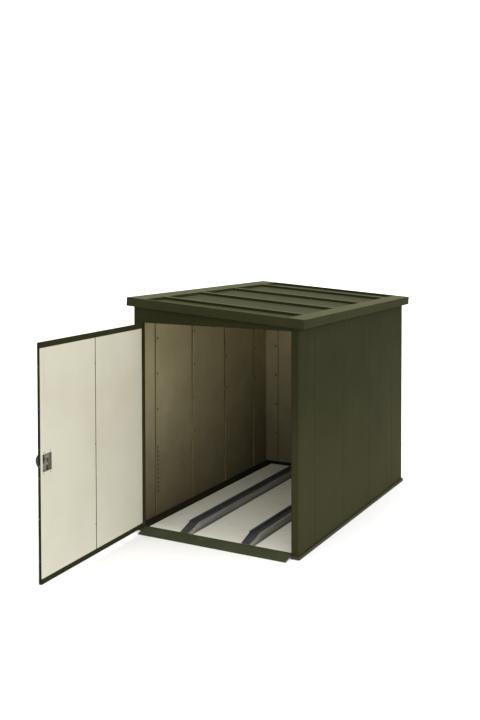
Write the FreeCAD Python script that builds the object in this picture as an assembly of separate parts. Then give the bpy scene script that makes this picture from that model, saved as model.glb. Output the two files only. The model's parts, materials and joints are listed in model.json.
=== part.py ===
import FreeCAD
import Part
import math
import os

# Bicycle shelter in folded steel sheet: pent roof, one hinged door, sill ramp and two wheel rails.
# Millimetres, +Z up, the doorway faces -Y, origin on the ground at the middle of the wall outline.

# Walls and doorway
shelter_width = 1250.0
shelter_depth = 2026.0
side_bays = 4
back_panel_width = 505.0
hinge_post_width = 75.0
lock_post_width = 48.0
doorway_head = 1445.0
sheet = 1.2
bend = 2.0
flange_depth = 12.0
seam_lip = 40.0
seam_strap = 46.0
post_lip = 15.0
door_stop = 12.0
header_lip = 15.0
vent_slot_count = 11
vent_slot_pitch = 32.0
vent_slot_height = 16.0
vent_slot_width = 4.0
vent_slot_lowest = 190.0
seam_line = 17.0
screw_pitch = 256.0
screw_lowest = 282.0
screw_rows = 5
screw_rows_over_vents = 3
screw_across_flats = 9.0
screw_head = 3.5

# Roof
roof_over_doorway = 174.0
roof_pitch = 4.04
overhang_high_side = 44.0
overhang_low_side = 50.0
overhang_front = 22.0
overhang_back = 25.0
fascia_drop = 60.0
fascia_hem = 12.0
high_side_flange = 145.0
low_side_flange = 120.0
end_lip = 16.0
cap_height = 18.0
cap_width = 50.0
upturn_gap = 1.0
top_rail_leg = 40.0

# Base, floor and ramp
base_sheet = 1.5
trim_stand_out = 10.0
trim_height = 22.0
foot_clearance = 1.8
hinge_side_ledge = 86.5
lock_side_ledge = 43.0
back_ledge = 86.5
floor_top = 27.0
floor_joint_past_seam = 12.0
floor_flange = 20.0
floor_clearance = 1.0
joist_width = 50.0
joist_wall = 2.0
joist_pitch = 400.0
joist_count = 5
anchor_hole_radius = 5.5
anchor_spread = 900.0
ramp_reach = 83.0
ramp_tuck = 13.0
ramp_lap = 8.0
ramp_sheet = 2.0
ramp_end_gap = 3.0

# Door
open_angle = 87.0
door_thickness = 20.0
door_gap_hinge = 5.0
door_gap_lock = 3.0
door_gap_head = 3.0
door_gap_sill = 3.0
stop_gap = 1.5
door_rail_height = 32.0
inner_margin = 12.0
inner_joggle = 1.5
inner_flange = 10.0
joint_gap = 7.0
skin_clearance = 0.3

# Hinges
hinge_count = 3
hinge_length = 90.0
hinge_end_distance = 190.0
hinge_leaf = 2.0
post_plate_width = 32.0
door_plate_width = 52.0
knuckle_setback = 17.5
knuckle_radius = 5.0
knuckle_length = 44.0
knuckle_gap = 0.5
hinge_pin_radius = 3.0
pin_stand_out = 2.0
running_clearance = 0.05

# Lock, bolt work and handle
lock_backset = 61.5
window_width = 85.0
window_height = 103.0
case_flange = 14.0
lock_layer_gap = 0.5
cam_thickness = 3.5
cam_margin = 4.5
pin_circle = 15.0
cam_pin_radius = 2.5
half_turn_of_lock = 45.0
rod_thickness = 3.0
rod_width = 12.0
yoke_wall = 3.2
slot_play = 0.8
way_clearance = 0.5
bolt_height = 16.0
strike_plate_margin = 20.0
strike_thickness = 2.0
spindle_radius = 6.0
spindle_square = 8.0
neck_radius = 9.0
rose_width = 46.0
rose_corner = 6.0
rose_thickness = 4.0
rose_edge = 1.5
neck_gap = 0.3
handle_reach = 58.0
handle_length = 76.0
handle_width = 22.0
handle_middle = 19.0
handle_tip = 7.0
handle_bow = 19.0
handle_edge = 2.5
barrel_radius = 7.0
barrel_depth = 14.0
barrel_stand_out = 1.5
keyway_width = 1.6
keyway_length = 8.0

# Wheel rails
rail_spacing = 470.0
rail_back_gap = 110.0
rail_front_gap = 4.0
rail_sheet = 1.5
trough_width = 50.0
trough_lean = 10.0
trough_floor_height = 25.0
ridge_height = 43.0
rim_width = 10.0
shoulder_width = 14.0
rail_foot_reach = 64.0
shoulder_radius = 16.0
nose_length = 133.0
nose_flatten = 0.06
rail_rest = 0.6

X = FreeCAD.Vector(1, 0, 0)
Y = FreeCAD.Vector(0, 1, 0)
Z = FreeCAD.Vector(0, 0, 1)

# Places that several pieces share
wall_x = shelter_width / 2
wall_y = shelter_depth / 2
front_y = -wall_y
hinge_jamb = -wall_x + hinge_post_width
lock_jamb = wall_x - lock_post_width
seam_depth = flange_depth + sheet
post_return = door_thickness + stop_gap
stop_y = front_y + post_return
side_module = shelter_depth / side_bays
side_seams = [side_module * (step + 0.5) - wall_y for step in range(side_bays)]
back_seams = [back_panel_width, 0.0, -back_panel_width]
roof_high_edge = doorway_head + roof_over_doorway


def point(x, y, z=0.0):
    return FreeCAD.Vector(x, y, z)


def box(low, high):
    """Box between two opposite corners."""
    size = high - low
    return Part.makeBox(size.x, size.y, size.z, low)


def rounded_line(points, radii):
    """Edges along the points, with each inner corner rounded by its radius, or left sharp at 0."""
    edges = []
    start = points[0]
    for before, corner, after, radius in zip(points, points[1:], points[2:], radii):
        into = (corner - before).normalize()
        out = (after - corner).normalize()
        half = into.getAngle(out) / 2
        arc_start = corner - into * radius * math.tan(half)
        arc_end = corner + out * radius * math.tan(half)
        edges.append(Part.makeLine(start, arc_start))
        if radius > 0:
            inward = (out - into).normalize()
            middle = corner + inward * radius * (1 / math.cos(half) - 1)
            edges.append(Part.Arc(arc_start, middle, arc_end).toShape())
        start = arc_end
    edges.append(Part.makeLine(start, points[-1]))
    return edges


def folded_outline(points, gauge, normal, bends):
    """Closed outline of a folded sheet. Its face follows points, its gauge lies on the left of the path.

    Each bend is its inside radius, 0 for a tight fold, or None for a hidden fold that is left square.
    """
    sides = [normal.cross((b - a).normalize()) for a, b in zip(points, points[1:])]
    other = [points[0] + sides[0] * gauge]
    face_radii = []
    other_radii = []
    for first, second, corner, inside in zip(sides, sides[1:], points[1:], bends):
        share = gauge / (1 + first.dot(second))
        other.append(corner + (first + second) * share)
        outside = 0 if inside is None else inside + gauge
        left_turn = normal.dot(first.cross(second)) > 0
        face_radii.append(outside if left_turn else inside or 0)
        other_radii.append(inside or 0 if left_turn else outside)
    other.append(points[-1] + sides[-1] * gauge)
    edges = rounded_line(points, face_radii)
    edges.append(Part.makeLine(points[-1], other[-1]))
    edges += rounded_line(other[::-1], other_radii[::-1])
    edges.append(Part.makeLine(other[0], points[0]))
    return Part.Wire(edges)


def folded_sheet(points, gauge, normal, run, bends=()):
    """Folded sheet with a constant outline, drawn out along run. Its folds are square without bends."""
    inside = bends or [None] * (len(points) - 2)
    return Part.Face(folded_outline(points, gauge, normal, inside)).extrude(run)


def turned_section(origin, inward, pairs):
    """Points of an upright section from pairs of inward distance and height."""
    return [origin + inward * inset + Z * height for inset, height in pairs]


def cut_all(shape, tools):
    """Shape less each of the tools."""
    for tool in tools:
        shape = shape.cut(tool)
    return shape


def joined(shapes):
    """One solid from solids that touch or overlap."""
    return shapes[0].multiFuse(shapes[1:]).removeSplitter()


nodes = {}

# Roof frame: built flat with its top at height 0 and its high edge at x = 0, then tilted into place
roof_left = -wall_x - overhang_high_side
roof_front = front_y - overhang_front
roof_back = wall_y + overhang_back
pitch = math.radians(roof_pitch)
roof_span = (shelter_width + overhang_high_side + overhang_low_side) / math.cos(pitch)
roof_tilt = FreeCAD.Placement(point(roof_left, 0, roof_high_edge), FreeCAD.Rotation(Y, roof_pitch))
pan_underside = cap_height + sheet


def on_roof(shape):
    """Shape moved from the flat roof frame to the tilted roof."""
    return shape.transformed(roof_tilt.toMatrix(), True)


def below_roof(x, depth):
    """Height at x of the plane that lies depth under the roof's top."""
    return roof_high_edge - (x - roof_left) * math.tan(pitch) - depth / math.cos(pitch)


# Pans: one sheet for each bay, turned up where it meets the next bay
pan_edges = [roof_front + sheet] + side_seams + [roof_back - sheet]
upturn_top = -sheet
for number, (near, far) in enumerate(zip(pan_edges, pan_edges[1:]), 1):
    path = []
    near_is_seam = near in side_seams
    far_is_seam = far in side_seams
    near_edge = near + upturn_gap if near_is_seam else near
    far_edge = far - upturn_gap if far_is_seam else far
    if near_is_seam:
        path.append(point(sheet, near_edge, upturn_top))
    path.append(point(sheet, near_edge, -pan_underside))
    path.append(point(sheet, far_edge, -pan_underside))
    if far_is_seam:
        path.append(point(sheet, far_edge, upturn_top))
    pan = folded_sheet(path, sheet, X, X * (roof_span - 2 * sheet))
    above_high_end = box(point(0, near, -cap_height), point(high_side_flange, far, 0))
    above_low_end = box(point(roof_span - low_side_flange, near, -cap_height), point(roof_span, far, 0))
    nodes[f"roof_panel_{number}"] = on_roof(cut_all(pan, [above_high_end, above_low_end]))

# Caps: flat-topped ribs that cover the upturned pan edges, level with the side flanges
for number, seam in enumerate(side_seams, 1):
    path = [
        point(high_side_flange, seam + cap_width / 2, -cap_height),
        point(high_side_flange, seam + cap_width / 2, 0),
        point(high_side_flange, seam - cap_width / 2, 0),
        point(high_side_flange, seam - cap_width / 2, -cap_height),
    ]
    cap_length = roof_span - high_side_flange - low_side_flange
    cap = folded_sheet(path, sheet, X, X * cap_length, [0, 0])
    nodes[f"roof_cap_{number}"] = on_roof(cap)

# Fascias: a top flange that steps down to the pans, a deep drop and a hem
fascia_fold = [(0, 0), (0, -fascia_drop), (fascia_hem, -fascia_drop)]
high_fold = [(high_side_flange, -cap_height), (high_side_flange, 0)] + fascia_fold
low_fold = [(low_side_flange, -cap_height), (low_side_flange, 0)] + fascia_fold
end_fold = [(end_lip, -cap_height), (end_lip, 0)] + fascia_fold
fascia_bends = [0, bend, None]
side_run = Y * (roof_back - roof_front - 2 * sheet)
high_path = turned_section(point(0, roof_front + sheet), X, high_fold)
nodes["fascia_left"] = on_roof(folded_sheet(high_path, sheet, -Y, side_run, fascia_bends))
low_path = turned_section(point(roof_span, roof_front + sheet), -X, low_fold)
nodes["fascia_right"] = on_roof(folded_sheet(low_path, sheet, Y, side_run, fascia_bends))
for name, edge, inward in (("fascia_front", roof_front, Y), ("fascia_back", roof_back, -Y)):
    path = turned_section(point(0, edge), inward, end_fold)
    face_back = edge + inward.y * sheet
    lip_back = edge + inward.y * 2 * end_lip
    near = min(face_back, lip_back)
    far = max(face_back, lip_back)
    notches = []
    for start in (0, roof_span - fascia_hem):
        notches.append(box(point(start, near, -2 * fascia_drop), point(start + fascia_hem, far, -cap_height)))
    for start, end in ((0, high_side_flange), (roof_span - low_side_flange, roof_span)):
        notches.append(box(point(start, near, -cap_height), point(end, far, sheet)))
    strip = folded_sheet(path, sheet, inward.cross(Z), X * roof_span, fascia_bends)
    nodes[name] = on_roof(cut_all(strip, notches))

# Top rails: angles on the wall heads that carry the pans
rail_depth = seam_depth + base_sheet
rail_inner_x = wall_x - rail_depth
high_rail_top = below_roof(-rail_inner_x, pan_underside)
low_rail_top = below_roof(wall_x, pan_underside)
rail_start = front_y + sheet + skin_clearance
rail_run = Y * (shelter_depth - 2 * sheet - 2 * skin_clearance)
for name, inward, top in (("top_rail_left", X, high_rail_top), ("top_rail_right", -X, low_rail_top)):
    angle = [(rail_depth, top - top_rail_leg), (rail_depth, top), (0, top)]
    path = turned_section(point(-inward.x * wall_x, rail_start), inward, angle)
    nodes[name] = folded_sheet(path, base_sheet, inward.cross(Z), rail_run)
back_angle = [(rail_depth, -pan_underside - top_rail_leg), (rail_depth, -pan_underside), (0, -pan_underside)]
high_end = (overhang_high_side + rail_depth) / math.cos(pitch)
high_end += (pan_underside + top_rail_leg) * math.tan(pitch)
low_end = roof_span - (overhang_low_side + rail_depth) / math.cos(pitch)
low_end += pan_underside * math.tan(pitch)
back_path = turned_section(point(high_end, wall_y), -Y, back_angle)
nodes["top_rail_back"] = on_roof(folded_sheet(back_path, base_sheet, -X, X * (low_end - high_end)))

# Walls: sheets that stand in the base rails and stop under the roof and the top rails
wall_foot = base_sheet
wall_run = Z * (roof_high_edge - wall_foot)
far_out = shelter_depth
roof_space = on_roof(box(
    point(-far_out, -far_out, -pan_underside - base_sheet), point(far_out * 2, far_out, far_out)))
high_rail_space = box(
    point(-far_out, -far_out, high_rail_top - base_sheet), point(-rail_inner_x, far_out, far_out))
low_rail_space = box(
    point(rail_inner_x, -far_out, low_rail_top - base_sheet), point(far_out, far_out, far_out))
above_walls = [roof_space, high_rail_space, low_rail_space]


def lipped(seam, along, inward):
    """Panel edge whose lip turns back into its own panel. Starts at the lip's tip."""
    fold = seam + inward * flange_depth
    return [fold + along * seam_lip, fold, seam]


def strapped(seam, along, inward):
    """Panel edge whose strap laps the next panel's lip. Ends at the strap's tip."""
    fold = seam + inward * flange_depth
    return [seam, fold, fold + along * seam_strap]


def wall_sheet(path, bends):
    """Wall panel from its outline in plan, listed counter-clockwise seen from above."""
    upright = folded_sheet([p + Z * wall_foot for p in path], sheet, Z, wall_run, bends)
    return cut_all(upright, above_walls)


def vent_slots(side):
    """Row of vent slots through the lap of the front seam. side is -1 for left and 1 for right."""
    near = side_seams[0] + seam_line - vent_slot_width / 2
    inner = side * (wall_x - flange_depth - 2 * sheet)
    outer = side * (wall_x - flange_depth + 2 * sheet)
    slots = []
    for row in range(vent_slot_count):
        low = vent_slot_lowest + row * vent_slot_pitch
        corner = point(min(inner, outer), near, low)
        far_corner = point(max(inner, outer), near + vent_slot_width, low + vent_slot_height)
        slots.append(box(corner, far_corner))
    return Part.makeCompound(slots)


# Lock places, in the closed door
leaf_left = hinge_jamb + door_gap_hinge
leaf_right = lock_jamb - door_gap_lock
leaf_bottom = floor_top + ramp_sheet + door_gap_sill
leaf_top = doorway_head - door_gap_head
leaf_inner_y = front_y + door_thickness
leaf_middle = (leaf_left + leaf_right) / 2
lock_x = leaf_right - lock_backset
lock_z = (leaf_bottom + leaf_top) / 2
skin_back = front_y + sheet
case_floor = skin_back + sheet
cam_near = case_floor + lock_layer_gap
cam_far = cam_near + cam_thickness
rod_near = cam_far + lock_layer_gap
rod_far = rod_near + rod_thickness
bolt_near = rod_far + lock_layer_gap
bolt_far = bolt_near + rod_thickness
half_turn = math.radians(half_turn_of_lock)
half_throw = pin_circle * math.sin(half_turn)
pin_inset = pin_circle * math.cos(half_turn)
slot_middle = (pin_circle + pin_inset) / 2
slot_half_length = (pin_circle - pin_inset) / 2 + cam_pin_radius + way_clearance
slot_half_height = cam_pin_radius + slot_play
throw = 2 * half_throw
rod_offset = pin_inset + cam_pin_radius + slot_play + rod_width / 2
top_rod_x = lock_x + rod_offset
bottom_rod_x = lock_x - rod_offset
bolt_z = lock_z - slot_middle
way_reach = throw + 2 * door_gap_head


def rod_way(x, low, high):
    """Clear passage for a flat rod between two heights."""
    half = rod_width / 2 + way_clearance
    near_corner = point(x - half, rod_near - way_clearance, low)
    return box(near_corner, point(x + half, rod_far + way_clearance, high))


top_way = rod_way(top_rod_x, lock_z + window_height / 4, leaf_top + way_reach)
bottom_way = rod_way(bottom_rod_x, floor_top - 2 * ramp_sheet - throw, lock_z - window_height / 4)
bolt_half = bolt_height / 2 + way_clearance
bolt_way = box(
    point(lock_x + window_width / 4, bolt_near - way_clearance, bolt_z - bolt_half),
    point(lock_jamb + lock_post_width / 2, bolt_far + way_clearance, bolt_z + bolt_half))

# Front corner panels: door post, corner and first wall bay in one sheet
lock_post = [
    point(lock_jamb - door_stop, stop_y),
    point(lock_jamb, stop_y),
    point(lock_jamb, front_y),
    point(wall_x, front_y),
]
lock_path = lock_post + strapped(point(wall_x, side_seams[0]), Y, -X)
lock_corner = wall_sheet(lock_path, [None, bend, bend, 0, None])
nodes["corner_panel_front_right"] = cut_all(lock_corner, [vent_slots(1), bolt_way])
hinge_post = [
    point(-wall_x, front_y),
    point(hinge_jamb, front_y),
    point(hinge_jamb, stop_y),
    point(hinge_jamb - post_lip, stop_y),
]
hinge_path = strapped(point(-wall_x, side_seams[0]), Y, X)[::-1] + hinge_post
hinge_corner = wall_sheet(hinge_path, [None, 0, bend, bend, None])
nodes["corner_panel_front_left"] = hinge_corner.cut(vent_slots(-1))

# Side panels: each laps the lip of the panel behind it
seam_bends = [None, 0, 0, None]
for number, (near, far) in enumerate(zip(side_seams, side_seams[1:]), 1):
    right_path = lipped(point(wall_x, near), Y, -X) + strapped(point(wall_x, far), Y, -X)
    right_panel = wall_sheet(right_path, seam_bends)
    left_path = strapped(point(-wall_x, far), Y, X)[::-1] + lipped(point(-wall_x, near), Y, X)[::-1]
    left_panel = wall_sheet(left_path, seam_bends)
    if near == side_seams[0]:
        right_panel = right_panel.cut(vent_slots(1))
        left_panel = left_panel.cut(vent_slots(-1))
    nodes[f"right_wall_panel_{number}"] = right_panel
    nodes[f"left_wall_panel_{number}"] = left_panel

# Back panels and back corners, taken from right to left
right_turn = [point(wall_x, wall_y)] + strapped(point(back_seams[0], wall_y), -X, -Y)
right_path = lipped(point(wall_x, side_seams[-1]), Y, -X) + right_turn
turn_bends = [None, 0, bend, 0, None]
nodes["corner_panel_back_right"] = wall_sheet(right_path, turn_bends)
for number, (near, far) in enumerate(zip(back_seams, back_seams[1:]), 1):
    path = lipped(point(near, wall_y), -X, -Y) + strapped(point(far, wall_y), -X, -Y)
    nodes[f"back_wall_panel_{number}"] = wall_sheet(path, seam_bends)
left_turn = [point(-wall_x, wall_y)] + lipped(point(-wall_x, side_seams[-1]), Y, X)[::-1]
left_path = lipped(point(back_seams[-1], wall_y), -X, -Y) + left_turn
nodes["corner_panel_back_left"] = wall_sheet(left_path, turn_bends)

# Header: panel over the doorway, folded in at the head and tapered by the roof
header_fold = [
    (post_return, doorway_head + header_lip),
    (post_return, doorway_head),
    (0, doorway_head),
    (0, roof_high_edge),
]
header_path = turned_section(point(hinge_jamb, front_y), Y, header_fold)
header_run = X * (lock_jamb - hinge_jamb)
under_pans = on_roof(box(point(-far_out, -far_out, -pan_underside), point(far_out * 2, far_out, far_out)))
header = folded_sheet(header_path, sheet, -X, header_run, [None, bend])
nodes["header_panel"] = cut_all(header, [under_pans, top_way])

# Strike plate: keeper for the centre bolt, inside the lock post
strike_height = bolt_height + 2 * strike_plate_margin
strike_x = lock_jamb + sheet
strike = box(
    point(strike_x, front_y + sheet + bend + sheet, bolt_z - strike_height / 2),
    point(strike_x + strike_thickness, stop_y - bend, bolt_z + strike_height / 2))
nodes["strike_plate"] = strike.cut(bolt_way)


# Seam screws: hexagon heads on the straps
def hex_head(seat, direction):
    """Hexagon screw head that sits on seat and stands out along direction."""
    corner_radius = screw_across_flats / math.sqrt(3)
    side_way = direction.cross(Z)
    corners = []
    for step in range(7):
        angle = math.radians(60 * step)
        corners.append(seat + (side_way * math.cos(angle) + Z * math.sin(angle)) * corner_radius)
    return Part.Face(Part.makePolygon(corners)).extrude(direction * screw_head)


screws = []
for row in range(screw_rows):
    height = screw_lowest + row * screw_pitch
    for seam in side_seams:
        over_vents = seam == side_seams[0] and row < screw_rows - screw_rows_over_vents
        if not over_vents:
            screws.append(hex_head(point(-wall_x + seam_depth, seam + seam_line, height), X))
            screws.append(hex_head(point(wall_x - seam_depth, seam + seam_line, height), -X))
    for seam in back_seams:
        screws.append(hex_head(point(seam - seam_line, wall_y - seam_depth, height), -Y))
nodes["wall_seam_screws"] = Part.makeCompound(screws)

# Base rails: trim lip, trough for the wall foot, riser and ledge over the floor's edge
riser = seam_depth + foot_clearance + base_sheet
base_fold = [
    (-trim_stand_out, trim_height),
    (-trim_stand_out, 0),
    (riser, 0),
    (riser, floor_top),
]
rail_front = stop_y + foot_clearance + sheet
trim_back = wall_y + trim_stand_out
trim_side = wall_x + trim_stand_out


def mitre(corner, across):
    """Prism beyond the mitre plane through corner, on the side that across points to."""
    along = Z.cross(across)
    outline = [
        corner - along * far_out,
        corner + along * far_out,
        corner + along * far_out + across * far_out,
        corner - along * far_out + across * far_out,
        corner - along * far_out,
    ]
    return Part.Face(Part.makePolygon([p - Z for p in outline])).extrude(Z * far_out)


side_rails = (
    ("base_rail_left", X, hinge_jamb, hinge_side_ledge),
    ("base_rail_right", -X, lock_jamb, lock_side_ledge),
)
for name, inward, jamb, ledge in side_rails:
    wall_line = -inward.x * wall_x
    side_base_fold = base_fold + [(riser + ledge, floor_top)]
    path = turned_section(point(wall_line, rail_front), inward, side_base_fold)
    length = folded_sheet(path, base_sheet, inward.cross(Z), Y * (trim_back - rail_front))
    length = length.cut(mitre(point(-inward.x * trim_side, trim_back), (inward + Y).normalize()))
    trim_x = wall_line - inward.x * trim_stand_out
    pan_low = point(min(trim_x, jamb), front_y - trim_stand_out, 0)
    pan_high = point(max(trim_x, jamb), rail_front, trim_height)
    wall_side = trim_x + inward.x * base_sheet
    beyond_jamb = jamb + inward.x * ledge
    hollow = box(
        point(min(wall_side, beyond_jamb), front_y - trim_stand_out + base_sheet, base_sheet),
        point(max(wall_side, beyond_jamb), rail_front + ledge, 2 * trim_height))
    post_foot = box(pan_low, pan_high).cut(hollow)
    nodes[name] = joined([length, post_foot])
back_fold = base_fold + [(riser + back_ledge, floor_top)]
back_path = turned_section(point(-trim_side, wall_y), -Y, back_fold)
back_length = folded_sheet(back_path, base_sheet, -X, X * (2 * trim_side))
left_mitre = mitre(point(-trim_side, trim_back), (-X - Y).normalize())
right_mitre = mitre(point(trim_side, trim_back), (X - Y).normalize())
nodes["base_rail_back"] = cut_all(back_length, [left_mitre, right_mitre])

# Joists: channels with their webs on the ground, the outer two drilled for anchors
joist_half = wall_x - riser - floor_clearance
joist_height = floor_top - sheet
joist_places = [joist_pitch * (step - (joist_count - 1) / 2) for step in range(joist_count)]
joists = []
for place in joist_places:
    joist_path = turned_section(point(-joist_half, place + joist_width / 2), -Y, [
        (0, joist_height), (0, 0), (joist_width, 0), (joist_width, joist_height)])
    joists.append(folded_sheet(joist_path, joist_wall, -X, X * (2 * joist_half)))
anchor_drills = []
for x in (-anchor_spread / 2, anchor_spread / 2):
    for place in (joist_places[0], joist_places[-1]):
        anchor_drills.append(Part.makeCylinder(anchor_hole_radius, 2 * floor_top, point(x, place, -1)))
nodes["floor_joists"] = Part.makeCompound([cut_all(joist, anchor_drills) for joist in joists])

# Floor: two sheets with flanges turned down, tucked under the ledges and notched round the posts
ramp_top_y = front_y + ramp_tuck
floor_front = ramp_top_y + floor_clearance / 2
floor_back = wall_y - riser - floor_clearance
floor_joint = side_seams[2] + floor_joint_past_seam
lock_lip = lock_jamb - door_stop
post_notches = [
    box(point(-wall_x, front_y, -1), point(hinge_jamb + floor_clearance, rail_front, 2 * floor_top)),
    box(point(lock_lip - floor_clearance, front_y, -1), point(wall_x, rail_front, 2 * floor_top)),
]
bays = (("floor_panel_front", floor_front, floor_joint), ("floor_panel_back", floor_joint, floor_back))
for name, near, far in bays:
    fold = [
        point(-joist_half, far, floor_top - floor_flange),
        point(-joist_half, far, floor_top),
        point(-joist_half, near, floor_top),
        point(-joist_half, near, floor_top - floor_flange),
    ]
    deck = folded_sheet(fold, sheet, X, X * (2 * joist_half))
    nodes[name] = cut_all(deck, post_notches)

# Sill ramp: sloped plate that laps the floor's front edge and stands on its toe
ramp_back_y = ramp_top_y + ramp_lap
ramp_top = floor_top + ramp_sheet
ramp_slope = math.atan2(floor_top, ramp_reach + ramp_tuck)
ramp_toe = ramp_sheet * math.cos(ramp_slope)
ramp_path = [
    point(hinge_jamb + ramp_end_gap, ramp_back_y, ramp_top),
    point(hinge_jamb + ramp_end_gap, ramp_top_y, ramp_top),
    point(hinge_jamb + ramp_end_gap, front_y - ramp_reach, ramp_toe),
]
ramp = folded_sheet(ramp_path, ramp_sheet, X, X * (lock_jamb - hinge_jamb - 2 * ramp_end_gap), [0])
nodes["sill_ramp"] = ramp.cut(bottom_way)


# Wheel rails: raised trough, rolled down to the floor on one side, with a rim and a wall on the other
def rail_outline(centre, y, share, rim):
    """Rail section at y, with its heights cut to a share of the full ones and a rim of the given width."""
    half = trough_width / 2
    reach = half + trough_lean
    heights = (ridge_height, trough_floor_height)
    ridge, trough = [floor_top + rail_sheet * (1 - share) + h * share for h in heights]
    foot = floor_top + rail_rest + rail_sheet * (1 - share)
    section = [
        (rail_foot_reach, foot),
        (reach + shoulder_width, ridge),
        (reach, ridge),
        (half, trough),
        (-half, trough),
        (-reach, ridge),
    ]
    if rim > 0:
        section.append((-reach - rim, ridge))
    section.append((-reach - rim, foot))
    path = [point(centre + x, y, z) for x, z in section]
    square_folds = [None] * (len(path) - 3)
    return folded_outline(path, rail_sheet, -Y, [shoulder_radius] + square_folds)


# The nose tapers to the sill and has no rim
nose_front = ramp_back_y + rail_front_gap
nose_back = nose_front + nose_length
rail_end = wall_y - rail_back_gap
for name, side in (("bike_rail_left", -1), ("bike_rail_right", 1)):
    centre = side * rail_spacing / 2
    tip = rail_outline(centre, nose_front, nose_flatten, 0)
    root = rail_outline(centre, nose_back, 1.0, 0)
    nose = Part.makeLoft([tip, root], True, True)
    length = Part.Face(rail_outline(centre, nose_back, 1.0, rim_width)).extrude(Y * (rail_end - nose_back))
    nodes[name] = joined([length, nose])

# Door: every piece is built in the closed door and then swung open about the hinge line
hinge_x = hinge_jamb - knuckle_setback
hinge_y = front_y - knuckle_radius - knuckle_gap
hinge_line = point(hinge_x, hinge_y)


def swung(shape):
    """Shape carried from the closed door to the open door."""
    opened = shape.copy()
    opened.rotate(hinge_line, Z, -open_angle)
    return opened


# Outer skin: pressed tray whose edges are the edges of the door
tray = box(point(leaf_left, front_y, leaf_bottom), point(leaf_right, leaf_inner_y - sheet, leaf_top))
face_edges = [e for e in tray.Edges if e.BoundBox.YMax < front_y + sheet]
tray = tray.makeFillet(bend + sheet, face_edges)
pocket = box(
    point(leaf_left + sheet, front_y + sheet, leaf_bottom + sheet),
    point(leaf_right - sheet, leaf_inner_y, leaf_top - sheet))
hole_start = front_y - door_thickness
spindle_hole = Part.makeCylinder(
    spindle_radius + running_clearance, 2 * door_thickness, point(lock_x, hole_start, lock_z), Y)
nodes["door_outer_skin"] = swung(cut_all(tray, [pocket, top_way, bottom_way, bolt_way, spindle_hole]))

# Door rails: strips across the head and the foot of the inner face
inset = sheet + skin_clearance
rail_low = leaf_bottom + inset
rail_high = leaf_top - inset - door_rail_height
for name, low, way in (("door_bottom_rail", rail_low, bottom_way), ("door_top_rail", rail_high, top_way)):
    fold = [
        point(leaf_left + inset, leaf_inner_y - inner_flange, low),
        point(leaf_left + inset, leaf_inner_y, low),
        point(leaf_left + inset, leaf_inner_y, low + door_rail_height),
        point(leaf_left + inset, leaf_inner_y - inner_flange, low + door_rail_height),
    ]
    strip = folded_sheet(fold, sheet, X, X * (leaf_right - leaf_left - 2 * inset))
    nodes[name] = swung(strip.cut(way))

# Inner panels: cream sheets with a stepped margin at the door's edges and a flanged joint at mid-width
panel_low = rail_low + door_rail_height
panel_high = rail_high
margin_y = leaf_inner_y - inner_joggle
flange_y = leaf_inner_y - inner_flange
window = box(
    point(lock_x - window_width / 2, flange_y, lock_z - window_height / 2),
    point(lock_x + window_width / 2, leaf_inner_y + sheet, lock_z + window_height / 2))
halves = (("door_inner_panel_lock_side", leaf_right, 1), ("door_inner_panel_hinge_side", leaf_left, -1))
for name, edge, side in halves:
    edge_x = edge - side * inset
    step_x = edge_x - side * inner_margin
    joint_x = leaf_middle + side * joint_gap / 2
    path = [
        point(edge_x, flange_y),
        point(edge_x, margin_y),
        point(step_x, margin_y),
        point(step_x - side * inner_joggle, leaf_inner_y),
        point(joint_x, leaf_inner_y),
        point(joint_x, flange_y),
    ]
    outline = [p + Z * panel_low for p in path]
    panel = folded_sheet(outline, sheet, Z * side, Z * (panel_high - panel_low), [0, None, None, 0])
    nodes[name] = swung(cut_all(panel, [window, bolt_way]) if side > 0 else panel)

# Lock case: pan behind the window, seated on the outer skin, with flanges on three sides
case_wall = sheet
panel_back = leaf_inner_y - sheet
half_wide = window_width / 2
half_high = window_height / 2


def lock_block(margin, edge_margin, near, far):
    """Block round the lock, larger than the window by a margin, or by edge_margin towards the free edge."""
    return box(
        point(lock_x - half_wide - margin, near, lock_z - half_high - margin),
        point(lock_x + half_wide + edge_margin, far, lock_z + half_high + margin))


case = joined([
    lock_block(case_wall, case_wall, skin_back, panel_back),
    lock_block(case_flange, case_wall, panel_back - case_wall, panel_back)])
case_ways = [lock_block(0, 0, case_floor, panel_back + sheet), top_way, bottom_way, bolt_way, spindle_hole]
nodes["lock_case"] = swung(cut_all(case, case_ways))

# Lock cam: three-armed plate on the spindle with a drive pin on each arm, shown unlocked
pin_angles = [-half_turn, -math.pi / 2 - half_turn, math.pi - half_turn]
pin_tips = [rod_far, bolt_far, rod_far]
arm_reach = pin_circle + cam_margin
arm_corners = []
for angle in pin_angles:
    for spread in (1, -1):
        along = arm_reach * math.cos(angle) - spread * cam_margin * math.sin(angle)
        rise = arm_reach * math.sin(angle) + spread * cam_margin * math.cos(angle)
        arm_corners.append(point(lock_x + along, cam_near, lock_z + rise))
cam_outline = Part.Face(Part.makePolygon(arm_corners + arm_corners[:1]))
square_half = spindle_square / 2
square_hole = box(
    point(lock_x - square_half, cam_near, lock_z - square_half),
    point(lock_x + square_half, cam_far, lock_z + square_half))
cam_parts = [cam_outline.extrude(Y * cam_thickness).cut(square_hole)]
for angle, tip in zip(pin_angles, pin_tips):
    pin_x = lock_x + pin_circle * math.cos(angle)
    pin_z = lock_z + pin_circle * math.sin(angle)
    cam_parts.append(Part.makeCylinder(cam_pin_radius, tip - cam_far, point(pin_x, cam_far, pin_z), Y))
nodes["lock_cam"] = swung(joined(cam_parts))


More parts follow.
